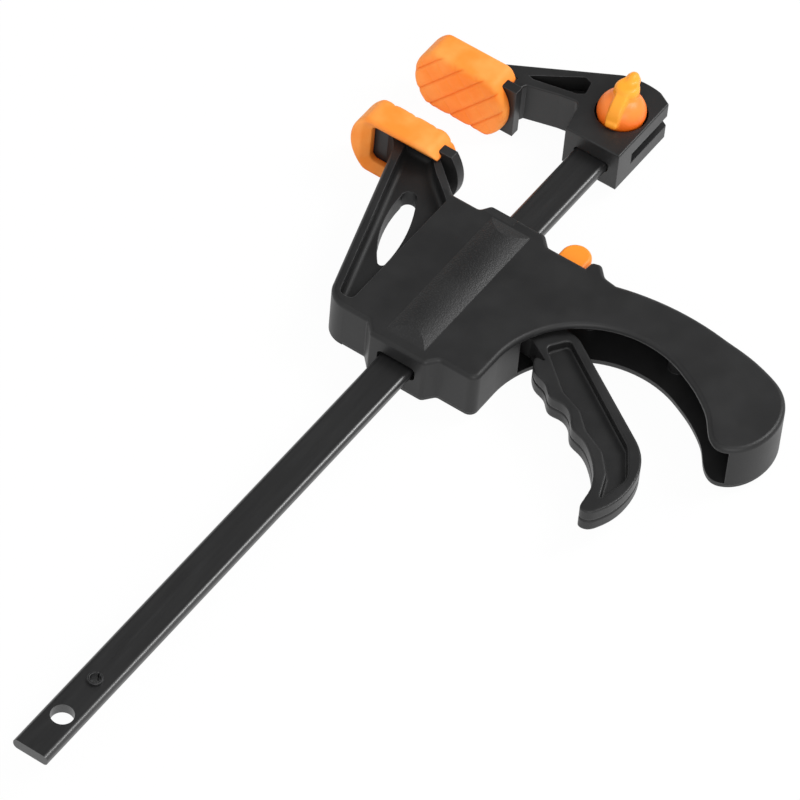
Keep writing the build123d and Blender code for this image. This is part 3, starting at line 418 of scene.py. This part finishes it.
# --- knob -------------------------------------------------------------------
# A wing knob moulded in tough orange plastic over the head of the clamp screw. A
# fin rises across its dome, blended into it with generous rounds for the thumb.
KNOB_GRID = 0.0003
KNOB_SOFTENING = 22
joints = {joint["name"]: joint for joint in frame["joints"]}
KNOB_AXIS_X = joints["knob_turn"]["pos_m"][0]
FIN_TURN = radians(8)
FIN_HALF_THICK = 0.0026
FIN_CORNER = (0.0069, 0.02086)    # centre of the round at the fin's high end
FIN_CORNER_RADIUS = 0.0030
FIN_TOP_RUN = (0.8209, 0.5711)    # direction of its sloping top
RIB_STEPS = 30
# Bezier points of the rib, along the fin and up.
RIB_CURVE = np.array([(-0.0101, 0.0101), (-0.0097, 0.0172), (-0.0056, 0.0207), (0.0024, 0.0218)])
FIN_TOP_Z = 0.0238
FIN_ROOT_Z = 0.0160
FIN_SOFTENING = 16
FIN_FADE = 0.002                  # the shaping of the fin fades in over this length
FIN_ROUND_FROM = 0.0025           # it is rounded beyond this, ahead of the axis
FIN_ROUND_FROM_Z = 0.0195
FIN_SIDE_LIMIT = FIN_HALF_THICK + 0.0006
FIN_SIDE_FADE = 0.0004
FIN_GROWS_FROM = 0.0030
FIN_STRETCH = 0.16
FIN_STRETCH_RISE = 0.003          # full stretch from this far above its root
# Painted highlight along the fin's crown, and painted shade low on the dome:
FIN_HIGHLIGHT_SIDES = (FIN_HALF_THICK - 0.0006, FIN_HALF_THICK + 0.0010)
FIN_HIGHLIGHT_Z = (0.0200, 0.0172)
DOME_SHADE_Z = (0.0165, 0.0095)
NEARLY_ZERO = 1e-9
PLASTIC_ORANGE = (0.97, 0.29, 0.022, 1)
# Deeper random tone, and painted shade in hollows and low on the knob's dome.
PLASTIC_DEEP_TONE_AND_SHADE = (0.93, 0.15, 0.008, 1)
PLASTIC_DOME = (1.0, 0.25, 0.035, 1)
# Painted highlight on the fin.
PLASTIC_FIN_HIGHLIGHT = (1.0, 0.37, 0.026, 1)


def orange_plastic(name, fin_highlight=False):
    """Satin orange plastic with faint flow clouds and painted shade in its hollows; the flag paints a
    highlight on the knob's fin and shade low on its dome.
    """
    finish, shader, place, free = new_finish(name, gloss=0.35)
    cloud = free.make("TexNoise", {"Vector": place, "Scale": 60.0, "Detail": 3.0})
    grain = free.make("TexNoise", {"Vector": place, "Scale": 3000.0, "Detail": 1.0})
    hollow = free.make("AmbientOcclusion", {"Distance": 0.006}, output="AO", samples=8)
    tone = cloud.ramp(0.4, 0.8, 0.0, 0.08).blend(PLASTIC_ORANGE, PLASTIC_DEEP_TONE_AND_SHADE)
    # Paint a highlight on the fin and shade low on the dome.
    if fin_highlight:
        across = free.make("VectorMath", {0: place, 1: (-sin(FIN_TURN), cos(FIN_TURN), 0.0)},
                           output="Value", operation="DOT_PRODUCT")
        off_fin = (across + KNOB_AXIS_X * sin(FIN_TURN)).math("ABSOLUTE")
        up = free.make("SeparateXYZ", {0: place}, output="Z")
        # Painted shade: the dome darker towards its foot.
        dome_shade = up.ramp(*DOME_SHADE_Z).blend(PLASTIC_DOME, PLASTIC_DEEP_TONE_AND_SHADE)
        tone = (off_fin.ramp(*FIN_HIGHLIGHT_SIDES) * up.ramp(*FIN_HIGHLIGHT_Z)).blend(PLASTIC_FIN_HIGHLIGHT, dome_shade)
    # Painted shade in hollows.
    join(hollow.ramp(0.30, 0.90, 0.9, 0.0).blend(tone, PLASTIC_DEEP_TONE_AND_SHADE), shader, "Base Color")
    join(cloud.ramp(0.30, 0.70, 0.36, 0.46), shader, "Roughness")
    raise_skin(shader, grain, strength=0.2, deep=0.00003)
    return finish


def skin_points(piece):
    """Places and outward directions of a piece's skin."""
    count = len(piece.data.vertices)
    places, outward = np.empty(3 * count), np.empty(3 * count)
    piece.data.vertices.foreach_get("co", places)
    piece.data.vertices.foreach_get("normal", outward)
    return places.reshape(-1, 3), outward.reshape(-1, 3)


def move_skin(piece, places):
    """Put a piece's skin at new places."""
    piece.data.vertices.foreach_set("co", places.ravel())
    piece.data.update()


def add_rib(shell):
    """Rib that runs from the crown of the knob down over its near side."""
    t = np.linspace(0.0, 1.0, RIB_STEPS)[:, None]
    line = ((1 - t) ** 3 * RIB_CURVE[0] + 3 * t * (1 - t) ** 2 * RIB_CURVE[1]
            + 3 * t ** 2 * (1 - t) * RIB_CURVE[2] + t ** 3 * RIB_CURVE[3]).tolist()
    line.append((RIB_CURVE[3][0], RIB_CURVE[0][1]))
    sides = []
    for across in (-FIN_HALF_THICK, FIN_HALF_THICK):
        sides.append([shell.verts.new((KNOB_AXIS_X + along * cos(FIN_TURN) - across * sin(FIN_TURN),
                                       along * sin(FIN_TURN) + across * cos(FIN_TURN), up))
                      for along, up in line])
    first, second = sides
    faces = [shell.faces.new(first), shell.faces.new(second[::-1])]
    for i in range(len(first)):
        j = (i + 1) % len(first)
        faces.append(shell.faces.new((first[j], first[i], second[i], second[j])))
    bmesh.ops.recalc_face_normals(shell, faces=faces)


def round_fin(places):
    """Turn the square top and tip of the fin into a half round."""
    x, y = places[:, 0] - KNOB_AXIS_X, places[:, 1]
    along, across = x * cos(FIN_TURN) + y * sin(FIN_TURN), y * cos(FIN_TURN) - x * sin(FIN_TURN)
    ahead, above = along - FIN_CORNER[0], places[:, 2] - FIN_CORNER[1]
    run, rise = FIN_TOP_RUN
    in_corner = (ahead * run + above * rise > 0) & (above > 0)
    over_top, past_end = above * run - ahead * rise, ahead
    top_nearer = over_top > past_end
    reach = np.where(in_corner, np.hypot(ahead, above), np.maximum(over_top, past_end))
    far = np.maximum(reach, NEARLY_ZERO)
    out_along = np.where(in_corner, ahead / far, np.where(top_nearer, -rise, 1.0))
    out_up = np.where(in_corner, above / far, np.where(top_nearer, run, 0.0))
    height = np.maximum(reach - FIN_CORNER_RADIUS + FIN_HALF_THICK, 0.0)
    spread = np.maximum(np.hypot(across, height), NEARLY_ZERO)
    scale = np.maximum(np.abs(across), height) / spread
    share = (np.clip((along - FIN_ROUND_FROM) / FIN_FADE, 0.0, 1.0) * (height > 0)
             * np.clip((places[:, 2] - FIN_ROUND_FROM_Z) / FIN_FADE, 0.0, 1.0)
             * np.clip((FIN_SIDE_LIMIT - np.abs(across)) / FIN_SIDE_FADE, 0.0, 1.0))
    down, inward = share * height * (scale - 1.0), share * across * (scale - 1.0)
    places[:, 0] += down * out_along * cos(FIN_TURN) - inward * sin(FIN_TURN)
    places[:, 1] += down * out_along * sin(FIN_TURN) + inward * cos(FIN_TURN)
    places[:, 2] += down * out_up


def soften_fin(piece):
    """Smooth the fin, then bring it back to its full height and reach."""
    shell = bmesh.new()
    shell.from_mesh(piece.data)
    fin = [point for point in shell.verts if point.co.z > FIN_ROOT_Z]
    for _ in range(FIN_SOFTENING):
        bmesh.ops.smooth_vert(shell, verts=fin, factor=0.5, use_axis_x=True, use_axis_y=True,
                              use_axis_z=True)
    grow = (FIN_TOP_Z - FIN_ROOT_Z) / (max(point.co.z for point in fin) - FIN_ROOT_Z) - 1.0
    for point in fin:
        ahead = point.co.x - KNOB_AXIS_X - FIN_GROWS_FROM
        share = min(max(ahead / FIN_FADE, 0.0), 1.0)
        rise = point.co.z - FIN_ROOT_Z
        point.co.z += rise * grow * share
        point.co.x += max(ahead, 0.0) * FIN_STRETCH * min(rise / FIN_STRETCH_RISE, 1.0)
    shell.to_mesh(piece.data)
    shell.free()


wing_knob = resample("knob", "wing_knob", KNOB_GRID, KNOB_SOFTENING, add=add_rib)
places, _ = skin_points(wing_knob)
round_fin(places)
move_skin(wing_knob, places)
soften_fin(wing_knob)
dress(wing_knob.data, orange_plastic("fin_highlight_orange_plastic", fin_highlight=True))
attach(wing_knob, "clamp_knob")
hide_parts("knob")

# --- release button ---------------------------------------------------------
# A small push button moulded in the knob's orange plastic, pressed on the end of
# the brake lever and showing in the front face of the body.
finish_node("release_button", orange_plastic("orange_plastic"))

# --- main body and back cover -----------------------------------------------
# The gearbox, grip and moving arm are one moulding in black glass-filled nylon,
# closed from behind by a cover plate of the same stuff. The ridge over the bar
# has a coarser, sanded skin.
SANDED_RIDGE = ((0.2110, -0.0090), (0.2825, 0.0090))   # its low and high corner, X and Y
# Width of the edge wear and painted edge highlight.
BODY_EDGE_WEAR_AND_SHEEN = 0.0005

body_nylon = spark_eroded_nylon("body_nylon", BODY_EDGE_WEAR_AND_SHEEN, gloss=0.33, matte=0.40,
                                sand=SANDED_RIDGE)
finish_node("main_body", body_nylon)
finish_node("back_cover", jaw_nylon)

# --- trigger ----------------------------------------------------------------
# A lever moulded in black nylon with a lightening pocket in each side, a little
# glossier than the body. A shallow groove shows where the mould's halves met.
TRIGGER_GRID = 0.00036
TRIGGER_SOFTENING = 2
PARTING_HALF_WIDTH = 0.00055      # groove where the two halves of the mould met
PARTING_DEPTH = 0.0006
PARTING_FROM_Y = -0.040

trigger_nylon = spark_eroded_nylon("trigger_nylon", BODY_EDGE_WEAR_AND_SHEEN, gloss=0.40, matte=0.36)
finger_lever = resample("trigger", "finger_lever", TRIGGER_GRID, TRIGGER_SOFTENING)
places, outward = skin_points(finger_lever)
cut = PARTING_DEPTH * np.clip(1.0 - (places[:, 2] / PARTING_HALF_WIDTH) ** 2, 0.0, 1.0)
places -= outward * (cut * (places[:, 1] < PARTING_FROM_Y))[:, None]
move_skin(finger_lever, places)
dress(finger_lever.data, trigger_nylon)
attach(finger_lever, "trigger_lever")
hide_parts("trigger")

# --- drive plates, brake lever, springs and pivot pin ------------------------
# Stamped and drawn steel inside the body, lightly oiled. The plates bite on the
# bar, so they are left bare and hardened.
OILED_STEEL = (0.36, 0.35, 0.33, 1)
OIL_STAIN = (0.16, 0.14, 0.11, 1)
STEEL_WORN_EDGE = 0.0002


def oiled_steel(name, across):
    """Bare steel with fine marks across one direction and stains of oil."""
    finish, shader, place, free = new_finish(name, gloss=0.5, metal=1.0)
    soft, edge = edge_wear_and_sheen(free, STEEL_WORN_EDGE)
    marks = free.make("TexNoise", {"Vector": free.make("Mapping", {"Vector": place, "Scale": across}),
                                   "Scale": 1.0, "Detail": 3.0})
    stain = free.make("TexNoise", {"Vector": place, "Scale": 240.0, "Detail": 4.0})
    join((stain.ramp(0.45, 0.75) - edge * 0.6).blend(OILED_STEEL, OIL_STAIN), shader, "Base Color")
    join(marks.ramp(0.3, 0.7, 0.25, 0.45), shader, "Roughness")
    raise_skin(shader, marks, strength=0.3, deep=0.00002, soft=soft)
    return finish


stamped = oiled_steel("stamped_steel", (300.0, 300.0, 4000.0))
drawn = oiled_steel("drawn_steel", (3000.0, 3000.0, 3000.0))
for hidden in ("drive_plate_front", "drive_plate_rear", "brake_lever"):
    finish_node(hidden, stamped)
finish_node("trigger_pivot_pin", drawn)

# --- drive spring and brake spring -------------------------------------------
# Coil springs wound in drawn wire. Each stands on the body with its rear end; it
# stays at full length when the drive plates or the brake lever move on to it.
drive_travel = -joints["drive_plate_slide"]["range_m"][0]
brake_turn = radians(-joints["brake_release"]["range_deg"][0])
brake_pivot_y = joints["brake_release"]["pos_m"][1]
low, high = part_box("brake_spring")
brake_travel = brake_turn * abs((low[1] + high[1]) / 2 - brake_pivot_y)
for spring_name, joint, travel in (("drive_spring", "drive_plate_slide", drive_travel),
                                   ("brake_spring", "brake_release", brake_travel)):
    coil = add_object(spring_name.replace("spring", "coil"), welded_copy(spring_name))
    dress(coil.data, drawn)
    low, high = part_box(spring_name)
    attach(coil, "clamp_body")
    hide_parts(spring_name)
    1.0 - travel / (high[0] - low[0])
    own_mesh(coil)

# --- table, light and camera ------------------------------------------------
# The clamp lies on a white table under a large soft studio light, with a darker
# patch of studio behind it that the upper faces mirror.
FLOOR_Z = cad_box[0][2]
FLOOR_REACH = 3.0
FLOOR_GREY = (0.95, 0.95, 0.95, 1)
FLOOR_SHADOW_SHARE = 0.035
STUDIO_WHITE = (1.0, 1.0, 1.0, 1)
STUDIO_LIGHT = 0.82
STUDIO_DARK = 0.10
DARK_TOWARDS = Vector((0.49, 0.50, 0.71)).normalized()
DARK_PATCH = (0.83, 0.97)         # cosine to the dark direction, from light to dark
LAMP_AIM = Vector((0.2, -0.02, 0.0))
LAMPS = {"key": ((-0.75, -0.95, 0.95), 0.9, 8.0),       # place, size and watts
         "rim": ((0.98, -0.55, 1.04), 0.6, 9.0)}
CAMERA_LENS = 270
CAMERA_SENSOR = 36
CAMERA_REACH = 10
CAMERA_PLACE = (-1.045411, -0.738583, 1.687825)
CAMERA_TURN = (40.279934, -3.6008043, -55.336709)       # degrees about X, Y and Z

floor_mesh = bpy.data.meshes.new("table")
corners = [(x * FLOOR_REACH, y * FLOOR_REACH, FLOOR_Z) for x, y in ((-1, -1), (1, -1), (1, 1), (-1, 1))]
floor_mesh.from_pydata(corners, [], [(0, 1, 2, 3)])
table = add_object("table", floor_mesh)
paper = bpy.data.materials.new("white_table")
paper.use_nodes = True
free = Wire(paper.node_tree)
output = paper.node_tree.nodes["Material Output"]
matte = paper.node_tree.nodes["Principled BSDF"]
matte.inputs["Base Color"].default_value = FLOOR_GREY
matte.inputs["Roughness"].default_value = 0.9
matte.inputs["Specular IOR Level"].default_value = 0.0
white = free.make("Emission", {"Color": STUDIO_WHITE, "Strength": 1.0})
camera_ray = free.make("LightPath", {}, output="Is Camera Ray")
seen = camera_ray
for ray in ("Is Glossy Ray", "Is Transmission Ray"):
    seen = seen.math("MAXIMUM", camera_ray.beside(ray))
shown = seen * (1.0 - FLOOR_SHADOW_SHARE)
surface = free.make("MixShader", {0: shown, 1: Wire(free.tree, matte.outputs[0]), 2: white})
paper.node_tree.links.new(surface.socket, output.inputs["Surface"])
floor_mesh.materials.append(paper)

studio = bpy.data.worlds.new("studio")
bpy.context.scene.world = studio
studio.use_nodes = True
free = Wire(studio.node_tree)
towards = free.make("TexCoord", {}, output="Generated")
facing = free.make("VectorMath", {0: towards, 1: DARK_TOWARDS}, output="Value",
                   operation="DOT_PRODUCT")
level = facing.ramp(*DARK_PATCH, STUDIO_LIGHT, STUDIO_DARK)
background = studio.node_tree.nodes["Background"]
background.inputs["Color"].default_value = STUDIO_WHITE
studio.node_tree.links.new(level.socket, background.inputs["Strength"])

for lamp_name, (place, size, watts) in LAMPS.items():
    lamp_data = bpy.data.lights.new(lamp_name, "AREA")
    lamp_data.shape, lamp_data.size, lamp_data.energy = "DISK", size, watts
    lamp = add_object(lamp_name, lamp_data)
    lamp.location = place
    lamp.rotation_euler = (LAMP_AIM - Vector(place)).to_track_quat("-Z", "Y").to_euler()

camera_data = bpy.data.cameras.new("camera")
camera_data.lens = CAMERA_LENS
camera_data.sensor_width = CAMERA_SENSOR
camera_data.clip_end = CAMERA_REACH
camera = add_object("camera", camera_data)
camera.location = CAMERA_PLACE
camera.rotation_euler = Euler([radians(turn) for turn in CAMERA_TURN], "XYZ")
bpy.context.scene.camera = camera
bpy.context.scene.view_settings.view_transform = "Standard"
